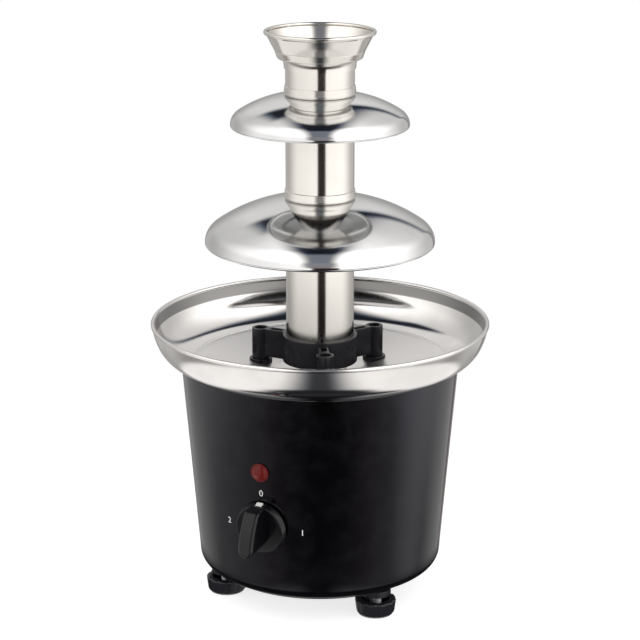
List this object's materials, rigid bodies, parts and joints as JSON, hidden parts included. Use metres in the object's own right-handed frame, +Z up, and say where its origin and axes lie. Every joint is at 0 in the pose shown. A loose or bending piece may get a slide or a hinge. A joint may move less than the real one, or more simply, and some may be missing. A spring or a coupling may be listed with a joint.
{
  "type": "chocolate fountain",
  "caption": "Table-top chocolate fountain: a heated steel bowl on a tapered black body, with a tiered steel tower over a motor-driven auger.",
  "frame": {"origin": "on the table under the tower's axis", "axes": "+Z up along the tower, -Y towards the control knob"},
  "size_m": [0.22, 0.22, 0.3717],
  "materials": {
    "black_enamel": "high-gloss black enamel on steel sheet",
    "black_plastic": "moulded black plastic with a soft gloss",
    "bowl_steel": "spun stainless steel, bright, with faint turning lines",
    "tube_steel": "stainless steel, satin, brushed along the tube",
    "tier_steel": "pressed stainless steel, polished",
    "bright_steel": "bright turned steel",
    "zinc_plate": "zinc-plated steel",
    "brass": "turned brass",
    "copper_winding": "enamelled copper on laminations",
    "white_plastic": "food-safe white plastic",
    "red_lens": "translucent red plastic, unlit",
    "black_rubber": "black rubber",
    "grey_rubber": "grey rubber",
    "lead_insulation": "heat-proof lead insulation"
  },
  "bodies": {
    "base": {"body_shell": "black_enamel", "base_plate": "black_plastic", "foot_inserts": "zinc_plate", "tie_rods": "bright_steel", "tie_nuts": "zinc_plate", "bowl": "bowl_steel", "stand_pins": "bright_steel", "pin_collars": "bright_steel", "shaft_seal": "black_rubber", "heater_element": "zinc_plate", "heater_straps": "zinc_plate", "thermal_cutout": "black_plastic", "motor_standoffs": "zinc_plate", "gearbox_cover": "zinc_plate", "gearbox_case": "black_plastic", "gearbox_screws": "zinc_plate", "idler_axle": "bright_steel", "motor_can": "zinc_plate", "motor_stator": "copper_winding", "switch_body": "black_plastic", "switch_nut": "zinc_plate", "lamp_lens": "red_lens", "lamp_holder": "black_plastic", "lamp_clip": "zinc_plate", "cord_inlet": "black_rubber", "terminal_block": "white_plastic", "wiring": "lead_insulation"},
    "drive": {"drive_shaft": "bright_steel", "output_gear": "white_plastic", "thrust_washer": "brass"},
    "idler": {"idler_gear": "white_plastic"},
    "rotor": {"rotor_shaft": "bright_steel", "rotor_core": "zinc_plate", "rotor_pinion": "brass"},
    "auger": {"auger_core": "white_plastic", "auger_flight": "white_plastic"},
    "tower_base": {"tower_stand": "black_plastic", "lower_tube": "tube_steel", "lower_tier": "tier_steel"},
    "tower_middle": {"middle_tube": "tube_steel", "upper_tier": "tier_steel"},
    "tower_top": {"top_tube": "tube_steel", "crown": "tube_steel"},
    "knob": {"control_knob": "black_plastic", "knob_pointer": "white_plastic", "switch_spindle": "bright_steel"},
    "foot_left": {"foot_knob_left": "black_plastic", "foot_stud_left": "zinc_plate", "foot_pad_left": "grey_rubber"},
    "foot_right": {"foot_knob_right": "black_plastic", "foot_stud_right": "zinc_plate", "foot_pad_right": "grey_rubber"},
    "foot_rear": {"foot_knob_rear": "black_plastic", "foot_stud_rear": "zinc_plate", "foot_pad_rear": "grey_rubber"}
  },
  "joints": [
    {"name": "idler_spin", "type": "hinge", "parent": "base", "child": "idler", "pos_m": [0, 0.03, 0.12], "axis": [0, 0, 1], "continuous": true},
    {"name": "rotor_spin", "type": "hinge", "parent": "base", "child": "rotor", "pos_m": [0, 0, 0.12], "axis": [0, 0, 1], "continuous": true},
    {"name": "drive_spin", "type": "hinge", "parent": "base", "child": "drive", "pos_m": [0, 0, 0.12], "axis": [0, 0, 1], "continuous": true},
    {"name": "auger_lift", "type": "slide", "parent": "drive", "child": "auger", "axis": [0, 0, 1], "range_m": [0, 0.25]},
    {"name": "tower_lift", "type": "slide", "parent": "base", "child": "tower_base", "axis": [0, 0, 1], "range_m": [0, 0.25]},
    {"name": "middle_lift", "type": "slide", "parent": "tower_base", "child": "tower_middle", "axis": [0, 0, 1], "range_m": [0, 0.12]},
    {"name": "top_lift", "type": "slide", "parent": "tower_middle", "child": "tower_top", "axis": [0, 0, 1], "range_m": [0, 0.08]},
    {"name": "knob_turn", "type": "hinge", "parent": "base", "child": "knob", "pos_m": [0, -0.08344, 0.0685], "axis": [0, -0.9966, -0.082], "range_deg": [-90, 90]},
    {"name": "foot_left_screw", "type": "slide", "parent": "base", "child": "foot_left", "axis": [0, 0, -1], "range_m": [-0.0015, 0.008]},
    {"name": "foot_right_screw", "type": "slide", "parent": "base", "child": "foot_right", "axis": [0, 0, -1], "range_m": [-0.0015, 0.008]},
    {"name": "foot_rear_screw", "type": "slide", "parent": "base", "child": "foot_rear", "axis": [0, 0, -1], "range_m": [-0.0015, 0.008]}
  ],
  "couplings": [
    {"joint": "rotor_spin", "follows": "idler_spin", "ratio": -4},
    {"joint": "drive_spin", "follows": "idler_spin", "ratio": -0.25}
  ]
}
